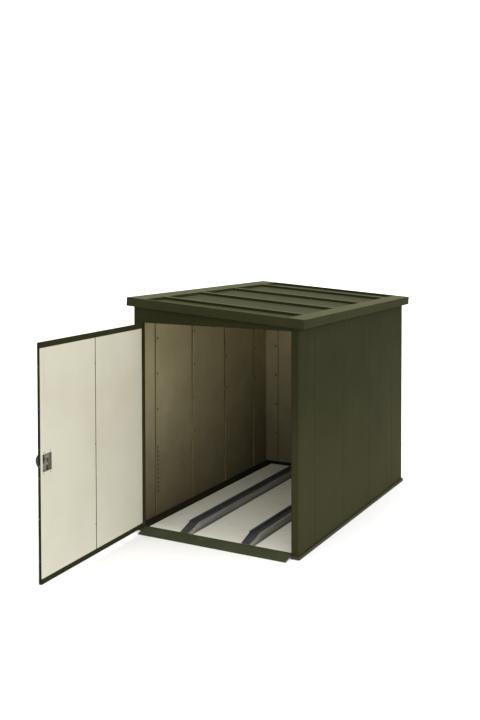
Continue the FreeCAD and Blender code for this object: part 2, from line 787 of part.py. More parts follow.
# Lock rods: flat bars set to one side of the cam, each with a slotted yoke on a cam pin
def lock_rod(side, pin_z, tip_z):
    """Flat rod from its yoke at pin_z to its rounded tip at tip_z. side is 1 towards the free edge."""
    up = 1 if tip_z > pin_z else -1
    half = rod_width / 2
    middle_x = lock_x + side * rod_offset
    outer_x = middle_x + side * half
    inner_x = middle_x - side * half
    slot_x = lock_x + side * slot_middle
    yoke_x = slot_x - side * (slot_half_length + yoke_wall)
    yoke_far = pin_z - up * (slot_half_height + yoke_wall)
    yoke_near = pin_z + up * (slot_half_height + yoke_wall)
    round_start = tip_z - up * half
    corners = [
        point(outer_x, rod_near, round_start),
        point(outer_x, rod_near, yoke_far),
        point(yoke_x, rod_near, yoke_far),
        point(yoke_x, rod_near, yoke_near),
        point(inner_x, rod_near, yoke_near),
        point(inner_x, rod_near, round_start),
    ]
    edges = [Part.makeLine(a, b) for a, b in zip(corners, corners[1:])]
    edges.append(Part.Arc(corners[-1], point(middle_x, rod_near, tip_z), corners[0]).toShape())
    bar = Part.Face(Part.Wire(edges)).extrude(Y * rod_thickness)
    slot = box(
        point(slot_x - slot_half_length, rod_near, pin_z - slot_half_height),
        point(slot_x + slot_half_length, rod_far, pin_z + slot_half_height))
    return bar.cut(slot)


nodes["lock_rod_top"] = swung(lock_rod(1, lock_z - half_throw, leaf_top - way_clearance))
nodes["lock_rod_bottom"] = swung(lock_rod(-1, lock_z + half_throw, leaf_bottom + way_clearance))

# Centre bolt: flat bar with an upright slot on the third cam pin
bolt_pin_x = lock_x - half_throw
tail_half = slot_half_height + yoke_wall
bolt_low = bolt_z - bolt_height / 2
bolt_high = bolt_z + bolt_height / 2
tail_low = bolt_z - slot_half_length - yoke_wall
tail_high = bolt_z + slot_half_length + yoke_wall
bolt_bar = box(
    point(bolt_pin_x, bolt_near, bolt_low), point(leaf_right - way_clearance, bolt_far, bolt_high))
bolt_tail = box(
    point(bolt_pin_x - tail_half, bolt_near, tail_low), point(bolt_pin_x + tail_half, bolt_far, tail_high))
bolt_slot = box(
    point(bolt_pin_x - slot_half_height, bolt_near, bolt_z - slot_half_length),
    point(bolt_pin_x + slot_half_height, bolt_far, bolt_z + slot_half_length))
nodes["centre_bolt"] = swung(joined([bolt_bar, bolt_tail]).cut(bolt_slot))

# Handle rose: square plate with rounded corners and an eased face, under the handle
rose_face = front_y - rose_thickness
rose_half = rose_width / 2
rose = box(
    point(lock_x - rose_half, rose_face, lock_z - rose_half),
    point(lock_x + rose_half, front_y, lock_z + rose_half))
rose = rose.makeFillet(rose_corner, [e for e in rose.Edges if abs(e.tangentAt(e.FirstParameter).y) > 0.5])
rose = rose.makeChamfer(rose_edge, [e for e in rose.Edges if e.BoundBox.YMax < rose_face + rose_edge])
nodes["handle_rose"] = swung(rose.cut(spindle_hole))

# Turn handle: bowed grip on a neck, with the spindle through the door
grip_out = front_y - handle_reach
grip_in = grip_out + handle_middle
tip_out = grip_out + handle_bow
tip_in = tip_out + handle_tip
grip_half = handle_length / 2
grip_left = lock_x - handle_width / 2
low_out = point(grip_left, tip_out, lock_z - grip_half)
high_out = point(grip_left, tip_out, lock_z + grip_half)
high_in = point(grip_left, tip_in, lock_z + grip_half)
low_in = point(grip_left, tip_in, lock_z - grip_half)
grip_edges = [
    Part.Arc(low_out, point(grip_left, grip_out, lock_z), high_out).toShape(),
    Part.makeLine(high_out, high_in),
    Part.Arc(high_in, point(grip_left, grip_in, lock_z), low_in).toShape(),
    Part.makeLine(low_in, low_out),
]
grip = Part.Face(Part.Wire(grip_edges)).extrude(X * handle_width)
grip = grip.makeChamfer(handle_edge, [e for e in grip.Edges if abs(e.tangentAt(e.FirstParameter).x) < 0.5])
neck_end = rose_face - neck_gap
grip_heart = (grip_out + grip_in) / 2
neck = Part.makeCylinder(neck_radius, neck_end - grip_heart, point(lock_x, grip_heart, lock_z), Y)
spindle_end = cam_near - lock_layer_gap / 2
spindle = Part.makeCylinder(spindle_radius, spindle_end - neck_end, point(lock_x, neck_end, lock_z), Y)
square = box(
    point(lock_x - square_half, neck_end, lock_z - square_half),
    point(lock_x + square_half, cam_far, lock_z + square_half))
barrel_bore = Part.makeCylinder(
    barrel_radius + running_clearance, barrel_depth, point(lock_x, grip_out, lock_z), Y)
nodes["turn_handle"] = swung(joined([grip, neck, spindle, square]).cut(barrel_bore))

# Lock barrel: key cylinder in the face of the handle
barrel = Part.makeCylinder(
    barrel_radius, barrel_depth + barrel_stand_out, point(lock_x, grip_out - barrel_stand_out, lock_z), Y)
keyway = box(
    point(lock_x - keyway_width / 2, grip_out - barrel_stand_out, lock_z - keyway_length / 2),
    point(lock_x + keyway_width / 2, grip_out + barrel_depth / 2, lock_z + keyway_length / 2))
nodes["lock_barrel"] = swung(barrel.cut(keyway))

# Hinges: lift-off hinges whose plates lie on the fronts of the post and the door
hinge_first = leaf_bottom + hinge_end_distance
hinge_step = (leaf_top - leaf_bottom - 2 * hinge_end_distance) / (hinge_count - 1)
plate_far = front_y - skin_clearance
plate_near = plate_far - hinge_leaf
post_leaves = []
door_leaves = []
pins = []
for index in range(hinge_count):
    middle = hinge_first + index * hinge_step
    low = middle - hinge_length / 2
    post_knuckle = middle - knuckle_gap / 2 - knuckle_length
    door_knuckle = middle + knuckle_gap / 2
    leaf_sets = (
        (post_leaves, -1, post_plate_width, post_knuckle),
        (door_leaves, 1, door_plate_width, door_knuckle))
    for leaves, side, width, start in leaf_sets:
        plate_start = hinge_x + side * (knuckle_radius + knuckle_gap)
        plate_end = plate_start + side * width
        plate = box(
            point(min(plate_start, plate_end), plate_near, low),
            point(max(plate_start, plate_end), plate_far, low + hinge_length))
        tab = box(
            point(min(hinge_x, plate_start), plate_near, start),
            point(max(hinge_x, plate_start), plate_far, start + knuckle_length))
        knuckle = Part.makeCylinder(knuckle_radius, knuckle_length, point(hinge_x, hinge_y, start))
        bore_radius = hinge_pin_radius + running_clearance
        bore = Part.makeCylinder(bore_radius, hinge_length, point(hinge_x, hinge_y, low))
        leaves.append(joined([plate, tab, knuckle]).cut(bore))
    pin_length = 2 * knuckle_length + knuckle_gap + 2 * pin_stand_out
    pin_low = post_knuckle - pin_stand_out
    pins.append(Part.makeCylinder(hinge_pin_radius, pin_length, point(hinge_x, hinge_y, pin_low)))
nodes["hinge_post_leaves"] = Part.makeCompound(post_leaves)
nodes["hinge_door_leaves"] = swung(Part.makeCompound(door_leaves))
nodes["hinge_pins"] = Part.makeCompound(pins)

os.makedirs("parts", exist_ok=True)
for name, shape in nodes.items():
    shape.exportStep(f"parts/{name}.step")
    solids = len(shape.Solids)
    print(f"{name}: {solids} solid(s), {shape.Volume / 1000:.1f} cm3, valid {shape.isValid()}")
print(f"{len(nodes)} nodes")
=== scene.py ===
import json
import math

import bmesh
import bpy
from mathutils import Matrix, Vector


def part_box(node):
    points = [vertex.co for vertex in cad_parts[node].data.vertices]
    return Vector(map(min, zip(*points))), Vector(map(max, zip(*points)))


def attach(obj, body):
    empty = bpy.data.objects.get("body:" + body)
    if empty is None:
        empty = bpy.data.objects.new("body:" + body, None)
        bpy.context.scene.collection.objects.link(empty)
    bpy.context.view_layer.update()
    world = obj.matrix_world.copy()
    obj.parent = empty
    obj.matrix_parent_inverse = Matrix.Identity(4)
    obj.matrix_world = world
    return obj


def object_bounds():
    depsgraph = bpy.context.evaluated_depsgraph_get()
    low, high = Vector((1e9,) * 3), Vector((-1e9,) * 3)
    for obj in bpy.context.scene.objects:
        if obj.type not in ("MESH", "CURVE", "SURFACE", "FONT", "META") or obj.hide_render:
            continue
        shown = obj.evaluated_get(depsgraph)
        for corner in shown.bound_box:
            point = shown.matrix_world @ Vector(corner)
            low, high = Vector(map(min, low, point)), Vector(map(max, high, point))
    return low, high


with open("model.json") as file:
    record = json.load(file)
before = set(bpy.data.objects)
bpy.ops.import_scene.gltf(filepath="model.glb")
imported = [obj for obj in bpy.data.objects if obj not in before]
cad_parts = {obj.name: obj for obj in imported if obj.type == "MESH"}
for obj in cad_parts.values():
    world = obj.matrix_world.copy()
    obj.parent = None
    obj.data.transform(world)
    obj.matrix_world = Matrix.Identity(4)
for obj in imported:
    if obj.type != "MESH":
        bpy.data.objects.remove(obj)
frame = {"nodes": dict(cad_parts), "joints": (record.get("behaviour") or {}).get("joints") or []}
nodes = frame["nodes"]
cad_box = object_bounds()


# Base rails, top rails and sill ramp.
# Folded steel in the shelter's grey-green powder coat. The rails stand on the ground and hold the wall feet.
# The ramp leads a wheel over the sill, and is a little scuffed where tyres cross it. Upward faces behind the
# sill are darkened by painted shade.
class Wire:
    """One output socket of a node tree. Arithmetic on it adds Math nodes, and node() adds any other kind."""

    def __init__(self, tree, socket=None):
        self.tree = tree
        self.socket = socket

    def node(self, kind, settings=None, values=None, output=0):
        made = self.tree.nodes.new(kind)
        for name, setting in (settings or {}).items():
            setattr(made, name, setting)
        for name, value in (values or {}).items():
            if isinstance(value, Wire):
                self.tree.links.new(value.socket, made.inputs[name])
            else:
                made.inputs[name].default_value = value
        return Wire(self.tree, made.outputs[output])

    def maths(self, operation, *terms):
        return self.node("ShaderNodeMath", {"operation": operation}, dict(enumerate(terms)))

    def __add__(self, other):
        return self.maths("ADD", self, other)

    def __radd__(self, other):
        return self.maths("ADD", other, self)

    def __sub__(self, other):
        return self.maths("SUBTRACT", self, other)

    def __rsub__(self, other):
        return self.maths("SUBTRACT", other, self)

    def __mul__(self, other):
        return self.maths("MULTIPLY", self, other)

    def __rmul__(self, other):
        return self.maths("MULTIPLY", other, self)

    def __gt__(self, other):
        return self.maths("GREATER_THAN", self, other)

    def __lt__(self, other):
        return self.maths("LESS_THAN", self, other)

    def __abs__(self):
        return self.maths("ABSOLUTE", self)

    def sign(self):
        return self.maths("SIGN", self)

    def least(self, other):
        return self.maths("MINIMUM", self, other)

    def most(self, other):
        return self.maths("MAXIMUM", self, other)

    def fade(self, low, high):
        """0 below low, 1 above high, smooth between."""
        settings = {"interpolation_type": "SMOOTHSTEP"}
        return self.node("ShaderNodeMapRange", settings, {"Value": self, "From Min": low, "From Max": high})

    def parts(self):
        """The three numbers of a vector."""
        split = self.node("ShaderNodeSeparateXYZ", None, {0: self})
        return [Wire(self.tree, output) for output in split.socket.node.outputs]

    def dot(self, way):
        """How far this vector points along a fixed one."""
        return self.node("ShaderNodeVectorMath", {"operation": "DOT_PRODUCT"}, {0: self, 1: way}, "Value")

    def facing(self):
        """The surface's normal, in the axes of the piece."""
        return self.node("ShaderNodeTexCoord", output="Normal")

    def noise(self, scale, detail=2.0, roughness=0.5, stretch=(1.0, 1.0, 1.0)):
        """Noise over a place in metres. scale is in repeats for each metre."""
        place = self.node("ShaderNodeVectorMath", {"operation": "MULTIPLY"}, {0: self, 1: stretch})
        values = {"Vector": place, "Scale": scale, "Detail": detail, "Roughness": roughness}
        return self.node("ShaderNodeTexNoise", None, values)

    def blend(self, first, second):
        """First colour where this value is 0 and second where it is 1."""
        values = {0: self, 6: first, 7: second}
        return self.node("ShaderNodeMix", {"data_type": "RGBA"}, values, output=2)

    def bump(self, strength, distance, base=None):
        """Normal of a surface that stands out by distance, in metres, where this value is 1."""
        values = {"Strength": strength, "Distance": distance, "Height": self}
        if base is not None:
            values["Normal"] = base
        return self.node("ShaderNodeBump", None, values)


def rgba(colour):
    """A colour given as 0 to 255 screen values, as the linear colour that shaders take."""
    linear = []
    for value in colour:
        share = value / 255
        linear.append(share / 12.92 if share <= 0.04045 else ((share + 0.055) / 1.055) ** 2.4)
    return (*linear, 1.0)


def new_finish(name):
    """A new material, its shader, and the place on the piece in metres."""
    material = bpy.data.materials.new(name)
    material.use_nodes = True
    shader = material.node_tree.nodes["Principled BSDF"]
    place = Wire(material.node_tree).node("ShaderNodeTexCoord", output="Object")
    return material, shader, place


def feed(shader, **sockets):
    """Sets a shader's sockets: a number or colour directly, a Wire by a link."""
    for name, value in sockets.items():
        socket = shader.inputs[name.replace("_", " ")]
        if isinstance(value, Wire):
            value.tree.links.new(value.socket, socket)
        else:
            socket.default_value = value


def coat_bump(place):
    """Surface of a sprayed coat on thin sheet: fine orange peel over a broad, faint waviness of the sheet."""
    waved = place.noise(2.2, detail=1.0).bump(0.5, sheet_wave)
    return place.noise(620.0, detail=1.0).bump(0.5, coat_peel, waved)


def wear(node_names, material):
    """Puts one material on CAD nodes."""
    for name in node_names:
        slots = nodes[name].data.materials
        slots.clear()
        slots.append(material)


coat_gloss = 0.004
coat_peel = 0.00006
sheet_wave = 0.0012
trim_colour = rgba((58, 62, 44))
trim_light = rgba((64, 68, 49))
trim_scuff = rgba((88, 90, 72))
ledge_shadow = rgba((30, 31, 21))
lip_splash = rgba((66, 58, 52))
scuff_share = 0.5
ledge_shadow_share = 0.7
lip_splash_share = 0.45
sill_back_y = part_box("sill_ramp")[1].y


def trim_coat():
    material, shader, place = new_finish("trim_coat")
    y = place.parts()[1]
    mottle = place.noise(7.0, detail=4.0)
    colour = mottle.fade(0.35, 0.7).blend(trim_colour, trim_light)
    rub = place.noise(60.0, detail=5.0, roughness=0.7, stretch=(0.25, 1.0, 1.0))
    up = place.facing().parts()[2].fade(0.3, 0.9)
    scuff = rub.fade(0.58, 0.74) * up * scuff_share
    # Painted shade: upward faces behind the sill, inside the room, are darkened towards a near-black green.
    shaded_ledge = (y > sill_back_y) * up
    splashed = ((1.0 - up) * lip_splash_share).blend(scuff.blend(colour, trim_scuff), lip_splash)
    coat = (shaded_ledge * ledge_shadow_share).blend(splashed, ledge_shadow)
    feed(shader, Base_Color=coat, Roughness=0.46 + 0.1 * mottle + 0.1 * scuff)
    feed(shader, Normal=coat_bump(place), Specular_IOR_Level=coat_gloss)
    return material


trim_nodes = [name for name in nodes if name.startswith(("base_rail", "top_rail", "sill_ramp"))]
wear(trim_nodes, trim_coat())

# Floor joists.
# Galvanised channels under the deck, cut and drilled, seen only from beneath.
zinc_dark = rgba((126, 129, 132))
zinc_light = rgba((154, 156, 158))
spangle_share = 0.65
rub_depth = 0.00008


def galvanised(name, dark, light, spangle=55.0, metallic=0.75):
    """Metal finish with a crystal spangle, in grains for each metre, and a light rub."""
    material, shader, place = new_finish(name)
    cells = place.node("ShaderNodeTexVoronoi", None, {"Vector": place, "Scale": spangle}, "Color")
    grain = cells.node("ShaderNodeSeparateColor", None, {0: cells})
    rub = place.noise(180.0, detail=4.0, roughness=0.65)
    shade = (spangle_share * grain + (1.0 - spangle_share) * rub).fade(0.2, 0.85)
    feed(shader, Base_Color=shade.blend(dark, light), Roughness=0.42 + 0.16 * (shade - 0.5))
    feed(shader, Metallic=metallic, Normal=rub.bump(0.4, rub_depth))
    return material


wear(["floor_joists"], galvanised("joist_zinc", zinc_dark, zinc_light))

# Deck.
# Two off-white coated steel sheets with flanged edges, screwed to the joists.
# Faint scuffs run the way wheels roll.
deck_colour = rgba((228, 227, 214))
deck_worn = rgba((197, 195, 181))
deck_dust_share = 0.35
deck_scuff_share = 0.4


def deck_coat():
    material, shader, place = new_finish("deck_coat")
    dust = place.noise(5.0, detail=6.0, roughness=0.62)
    scuff = place.noise(70.0, detail=4.0, roughness=0.6, stretch=(1.0, 0.08, 1.0))
    wornness = dust.fade(0.45, 0.8) * deck_dust_share + scuff.fade(0.6, 0.8) * deck_scuff_share
    feed(shader, Base_Color=wornness.blend(deck_colour, deck_worn), Roughness=0.5 + 0.15 * wornness)
    feed(shader, Normal=coat_bump(place), Specular_IOR_Level=coat_gloss)
    return material


wear(["floor_panel_front", "floor_panel_back"], deck_coat())

# Wall sheets, header and door posts.
# Pre-coated steel, olive outside and cream inside, folded into panels that are screwed at boxed laps.
# A face is lined where it looks into the room. Painted shade darkens the lap folds, the outside seams and the
# lining low down, and painted bounce light, with some dust, lightens the olive low down.
olive = rgba((38, 39, 22))
olive_light = rgba((42, 43, 26))
olive_dark = rgba((35, 36, 20))
wall_dust_and_bounce = rgba((84, 78, 56))
lining = rgba((188, 179, 143))
lining_shade = rgba((180, 170, 133))
lining_shaded_low = rgba((106, 98, 75))
lap_fold_shade = rgba((120, 110, 80))
seam_shadow = rgba((15, 15, 9))
run_share = 0.55
wall_dust_and_bounce_share = 0.16
low_shade_share = 0.9
low_band_bottom = 0.2
low_band_top = 1.55
low_band_wander = 0.3
seam_shadow_share = 0.8
seam_core = 0.00088
seam_half = 0.0022
lap_depth = 0.004
facing_in = 0.3
post_back_margin = 0.0025
side_seams = [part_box(f"left_wall_panel_{number}")[0].y for number in (1, 2, 3)]
side_seams.append(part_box("corner_panel_back_left")[0].y)
back_seams = [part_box(f"back_wall_panel_{number}")[1].x for number in (1, 2)]
back_seams.append(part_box("corner_panel_back_left")[1].x)
wall_low, wall_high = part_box("corner_panel_front_right")
wall_half_x = wall_high.x
wall_front_y = wall_low.y
wall_back_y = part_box("back_wall_panel_1")[1].y
post_back_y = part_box("header_panel")[1].y + post_back_margin


def olive_tone(place):
    """Olive coat: slow change of tone over a sheet, and faint runs down it."""
    broad = place.noise(1.6, detail=3.0)
    runs = place.noise(26.0, detail=3.0, stretch=(1.0, 1.0, 0.05))
    toned = broad.fade(0.3, 0.7).blend(olive, olive_light)
    return (runs.fade(0.45, 0.8) * run_share).blend(toned, olive_dark)


def lining_tone(place):
    """Backing coat on the inside of the wall and roof sheets: thinner and yellower than the door's cream."""
    return place.noise(3.0, detail=5.0).fade(0.35, 0.75).blend(lining, lining_shade)


def near_seam(across, seams):
    """1 on the painted shadow line along the joint between two sheets, 0 away from it."""
    nearest = abs(across - seams[0])
    for seam in seams[1:]:
        nearest = nearest.least(abs(across - seam))
    return 1.0 - nearest.fade(seam_core, seam_half)


def wall_coat():
    material, shader, place = new_finish("wall_coat")
    x, y, z = place.parts()
    nx, ny = place.facing().parts()[:2]
    depth_x = wall_half_x - abs(x)
    depth_y = (y - wall_front_y).least(wall_back_y - y)
    side_wall = depth_x < depth_y
    inward_x = nx * x.sign() * -1.0
    inward_y = ny * y.sign() * -1.0
    inward = side_wall * inward_x + (1.0 - side_wall) * inward_y
    behind_post = y > post_back_y
    inside = (inward > facing_in) * behind_post
    in_lap = (depth_x.least(depth_y) > lap_depth) * behind_post
    mottle = place.noise(9.0, detail=3.0)
    low_down = 1.0 - (z + low_band_wander * mottle).fade(low_band_bottom, low_band_top)
    # Painted shade: the lining darkens towards the bottom of the wall.
    lined = (low_down * low_shade_share).blend(lining_tone(place), lining_shaded_low)
    # Painted bounce light with dust: the olive grows lighter towards the bottom of the wall.
    dust_and_bounce_lit = (low_down * wall_dust_and_bounce_share).blend(olive_tone(place), wall_dust_and_bounce)
    # Painted shadow: a dark line runs along each outside seam.
    joint = side_wall * near_seam(y, side_seams) + (1.0 - side_wall) * near_seam(x, back_seams)
    seam_shadowed = (joint * seam_shadow_share).blend(dust_and_bounce_lit, seam_shadow)
    # Painted shade: fold faces within the laps take a dark lining tone.
    feed(shader, Base_Color=inside.blend(in_lap.blend(seam_shadowed, lap_fold_shade), lined))
    feed(shader, Roughness=0.44 + 0.08 * mottle, Normal=coat_bump(place), Specular_IOR_Level=coat_gloss)
    return material


wall_prefixes = ("corner_panel", "left_wall", "right_wall", "back_wall")
wear([name for name in nodes if name.startswith(wall_prefixes)], wall_coat())


def olive_coat():
    """Olive coat on both sides of a sheet."""
    material, shader, place = new_finish("door_olive_coat")
    mottle = place.noise(9.0, detail=3.0)
    feed(shader, Base_Color=olive_tone(place), Roughness=0.44 + 0.08 * mottle)
    feed(shader, Normal=coat_bump(place), Specular_IOR_Level=coat_gloss)
    return material


plain_olive = olive_coat()
wear(["header_panel"], plain_olive)

# Roof pans, caps and fascias.
# The same olive coat, cream below, with a lighter film on the flats that is dust where rain dries and painted
# sheen.
roof_dust_and_sheen = rgba((126, 125, 90))
roof_gloss = 0.003
film_share = 0.5
spot_share = 0.25
patchiness = 0.6
facing_down = -0.5


def roof_coat(name, flat_share, upright_share):
    """Olive coat with dust and painted sheen: flat_share is their share on the flats, upright_share on the
    upright faces.
    """
    material, shader, place = new_finish(name)
    nz = place.facing().parts()[2]
    film = place.noise(14.0, detail=6.0, roughness=0.65)
    spots = place.noise(120.0, detail=3.0)
    flat = nz.fade(0.6, 0.95)
    patches = film.fade(0.3, 0.8) * film_share + spots.fade(0.62, 0.8) * spot_share
    # Painted sheen with dust: flats are lightened towards a pale yellow-green.
    dust = flat * (flat_share + patchiness * flat_share * patches) + upright_share * (1.0 - flat)
    top = dust.blend(olive_tone(place), roof_dust_and_sheen)
    coat = (nz < facing_down).blend(top, lining_tone(place))
    feed(shader, Base_Color=coat, Roughness=0.45 + 0.2 * dust)
    feed(shader, Normal=coat_bump(place), Specular_IOR_Level=roof_gloss)
    return material


roof_trim_nodes = [name for name in nodes if name.startswith(("roof_cap", "fascia"))]
roof_pan_nodes = [name for name in nodes if name.startswith("roof_panel")]
wear(roof_trim_nodes, roof_coat("roof_trim_coat", flat_share=0.24, upright_share=0.03))
wear(roof_pan_nodes, roof_coat("roof_pan_coat", flat_share=0.11, upright_share=0.0))

# Wheel rails.
# Formed grey steel gutters, rolled down to the deck on one side and rimmed on the other.
# The trough is painted darker in blotches, the rim darker too, and painted shadow darkens the rolled foot.
rail_grey = rgba((128, 127, 121))
rail_light = rgba((160, 159, 152))
rail_trough_dark = rgba((50, 52, 60))
rail_shadow_and_rim = rgba((62, 61, 55))
rail_low, rail_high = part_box("bike_rail_right")
rim_to_centre = 0.045
trough_half = 0.025
trough_lean = 0.010
nose_length = 0.133
foot_shadow_width = 0.010
foot_shadow_share = 0.8
rim_dark_share = 0.6
trough_dark_least = 0.8
streak_depth = 0.00008
rail_centre = rail_low.x + rim_to_centre
rail_foot = rail_high.x - rail_centre
rail_rim = -trough_half - trough_lean


def rail_finish():
    material, shader, place = new_finish("rail_finish")
    x, y = place.parts()[:2]
    streak = place.noise(140.0, detail=5.0, roughness=0.65, stretch=(1.0, 0.03, 1.0))
    blotch = place.noise(30.0, detail=4.0)
    metal = streak.fade(0.35, 0.7).blend(rail_grey, rail_light)
    across = x - x.sign() * rail_centre
    ridge = trough_half + trough_lean * y.fade(rail_low.y, rail_low.y + nose_length)
    # Painted shadow along the rolled foot; the rim is painted darker.
    foot_shadow = across.fade(rail_foot - foot_shadow_width, rail_foot) * foot_shadow_share
    foot_shadow_and_rim = foot_shadow + (across < rail_rim) * rim_dark_share
    # The trough is painted dark, in blotches.
    trough_blotch = trough_dark_least + (1.0 - trough_dark_least) * blotch
    trough_dark = (across < ridge) * (across > rail_rim) * trough_blotch
    feed(shader, Base_Color=trough_dark.blend(foot_shadow_and_rim.blend(metal, rail_shadow_and_rim), rail_trough_dark), Metallic=0.2)
    feed(shader, Roughness=0.42 + 0.2 * streak + 0.15 * trough_dark, Normal=streak.bump(0.4, streak_depth))
    return material


wear(["bike_rail_left", "bike_rail_right"], rail_finish())

# Seam screws.
# Zinc-plated hexagon flange screws in the wall straps. Each flange is a dished washer pressed under the head.
screw_dark = rgba((60, 55, 44))
screw_light = rgba((98, 92, 78))
flange_radius = 0.0085
flange_top_radius = 0.0051
flange_rise = 0.0012
flange_lip = 0.0005
flange_sides = 24
flange_profile = [
    (0, 0), (flange_radius, 0), (flange_radius, flange_lip),
    (flange_top_radius, flange_rise), (0, flange_rise)]
head_half = 0.0045
row_count = 5
over_vent_rows = 3
screw_setback = 0.017
smooth_angle = 35.0
screw_low, screw_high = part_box("wall_seam_screws")
row_low = screw_low.z + head_half
row_step = (screw_high.z - screw_low.z - 2 * head_half) / (row_count - 1)
screw_finish = galvanised("screw_zinc", screw_dark, screw_light, spangle=400.0, metallic=0.3)
wear(["wall_seam_screws"], screw_finish)


def turned(mesh, seat, axis, profile, sides):
    """Adds a closed turned form. profile lists (radius, height) from the seat's centre out and back."""
    axis = axis.normalized()
    across = axis.orthogonal().normalized()
    beside = axis.cross(across)
    rings = []
    for radius, height in profile:
        if radius == 0:
            rings.append([mesh.verts.new(seat + axis * height)])
            continue
        ring = []
        for step in range(sides):
            angle = 2 * math.pi * step / sides
            spoke = across * math.cos(angle) + beside * math.sin(angle)
            ring.append(mesh.verts.new(seat + spoke * radius + axis * height))
        rings.append(ring)
    for low, high in zip(rings, rings[1:]):
        for step in range(sides):
            after = (step + 1) % sides
            corners = [low[step % len(low)], low[after % len(low)]]
            corners += [high[after % len(high)], high[step % len(high)]]
            mesh.faces.new(list(dict.fromkeys(corners)))


def finished(name, mesh, material, body):
    """Turns a bmesh into a piece that rides on a body."""
    bmesh.ops.recalc_face_normals(mesh, faces=mesh.faces)
    data = bpy.data.meshes.new(name)
    mesh.to_mesh(data)
    mesh.free()
    for face in data.polygons:
        face.use_smooth = True
    data.set_sharp_from_angle(angle=math.radians(smooth_angle))
    data.materials.append(material)
    piece = bpy.data.objects.new(name, data)
    bpy.context.scene.collection.objects.link(piece)
    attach(piece, body)
    return piece


washers = bmesh.new()
for row in range(row_count):
    height = row_low + row * row_step
    for seam in side_seams:
        if seam == side_seams[0] and row < row_count - over_vent_rows:
            continue
        for seat_x, inward in ((screw_low.x, 1), (screw_high.x, -1)):
            seat = Vector((seat_x, seam + screw_setback, height))
            turned(washers, seat, Vector((inward, 0, 0)), flange_profile, flange_sides)
    for seam in back_seams:
        seat = Vector((seam - screw_setback, screw_high.y, height))
        turned(washers, seat, Vector((0, -1, 0)), flange_profile, flange_sides)
finished("seam_screw_flanges", washers, screw_finish, "shelter")

# Vent grommets.
# Moulded black nylon sleeves pushed into the slots of the front laps, with a flange on the room side.
nylon_black = rgba((20, 20, 17))
nylon_light = rgba((34, 33, 29))
nylon_gloss = 0.2
slot_count = 11
slot_pitch = 0.032
slot_lowest = 0.190
slot_height = 0.016
slot_width = 0.004
grommet_sides = 16
grommet_section = [
    (0.0050, 0.0), (0.0046, 0.0009), (0.0017, 0.0009), (0.0013, 0.0005),
    (0.0013, -0.0015), (0.0019, -0.0015), (0.0019, 0.0)]


def nylon(name):
    material, shader, place = new_finish(name)
    grain = place.noise(700.0, detail=2.0)
    feed(shader, Base_Color=grain.fade(0.4, 0.8).blend(nylon_black, nylon_light), Roughness=0.5 + 0.1 * grain)
    feed(shader, Specular_IOR_Level=nylon_gloss)
    return material


def add_grommet(mesh, middle, inward):
    """Adds one sleeve: its section, as reach and rise, carried round the slot's long oval."""
    straight = (slot_height - slot_width) / 2
    rings = []
    for step in range(grommet_sides):
        angle = 2 * math.pi * (step + 0.5) / grommet_sides
        end = straight if math.sin(angle) > 0 else -straight
        ring = []
        for reach, rise in grommet_section:
            spoke = Vector((inward * rise, reach * math.cos(angle), reach * math.sin(angle) + end))
            ring.append(mesh.verts.new(middle + spoke))
        rings.append(ring)
    for ring, following in zip(rings, rings[1:] + rings[:1]):
        for step in range(len(ring)):
            mesh.faces.new([ring[step - 1], ring[step], following[step], following[step - 1]])


grommets = bmesh.new()
for row in range(slot_count):
    middle_z = slot_lowest + row * slot_pitch + slot_height / 2
    for seat_x, inward in ((screw_low.x, 1), (screw_high.x, -1)):
        add_grommet(grommets, Vector((seat_x, side_seams[0] + screw_setback, middle_z)), inward)
finished("vent_grommets", grommets, nylon("grommet_nylon"), "shelter")

# Door skin and inner panels.
# A pressed olive tray, closed by cream coated sheets with a stepped margin and a flanged joint at mid-width.
# The door's pieces are laid out closed, and swung about the hinge line to their open place in the frame.
cream = rgba((177, 174, 158))
cream_shade = rgba((171, 167, 150))
fold_shadow = rgba((84, 78, 62))
fold_turn = 0.6
cream_gloss = 0.45
swing = next(joint for joint in frame["joints"] if joint["name"] == "door_swing")
hinge_point = Vector(swing["pos_m"])
to_open = (
    Matrix.Translation(hinge_point)
    @ Matrix.Rotation(math.radians(-swing["range_deg"][0]), 4, Vector(swing["axis"]))
    @ Matrix.Translation(-hinge_point))
door_inward = to_open.to_3x3() @ Vector((0, 1, 0))


def cream_coat():
    """Cream coat: even, with a faint cloudiness, and shaded in the folds of the sheet."""
    material, shader, place = new_finish("door_cream_coat")
    mottle = place.noise(9.0, detail=3.0)
    cloud = place.noise(3.0, detail=5.0).fade(0.35, 0.75)
    fold = abs(place.facing().dot(door_inward)) < fold_turn
    coat = fold.blend(cloud.blend(cream, cream_shade), fold_shadow)
    feed(shader, Base_Color=coat, Roughness=0.36 + 0.08 * mottle)
    feed(shader, Normal=coat_bump(place), Specular_IOR_Level=cream_gloss)
    return material


wear(["door_outer_skin", "door_top_rail", "door_bottom_rail"], plain_olive)
wear(["door_inner_panel_hinge_side", "door_inner_panel_lock_side"], cream_coat())

# Edge strip of the door.
# Black rubber extrusion along the free edge, cut away for the centre bolt and held by the edge rivets.
strip_black = rgba((22, 22, 15))
strip_worn = rgba((38, 38, 29))
rubber_gloss = 0.1
strip_rise = 0.0012
strip_crown = 0.0004
strip_front_inset = 0.0015
strip_back_inset = 0.0006
strip_end_inset = 0.002
strip_bolt_gap = 0.013
to_closed = to_open.inverted()


def closed_box(name):
    """Lowest and highest corners of a door node with the door closed."""
    places = [to_closed @ vertex.co for vertex in nodes[name].data.vertices]
    low = Vector([min(place[axis] for place in places) for axis in range(3)])
    high = Vector([max(place[axis] for place in places) for axis in range(3)])
    return low, high


leaf_low, leaf_high = closed_box("door_outer_skin")
panel_low, panel_high = closed_box("door_inner_panel_lock_side")
bolt_low, bolt_high = closed_box("centre_bolt")
bolt_z = (bolt_low.z + bolt_high.z) / 2


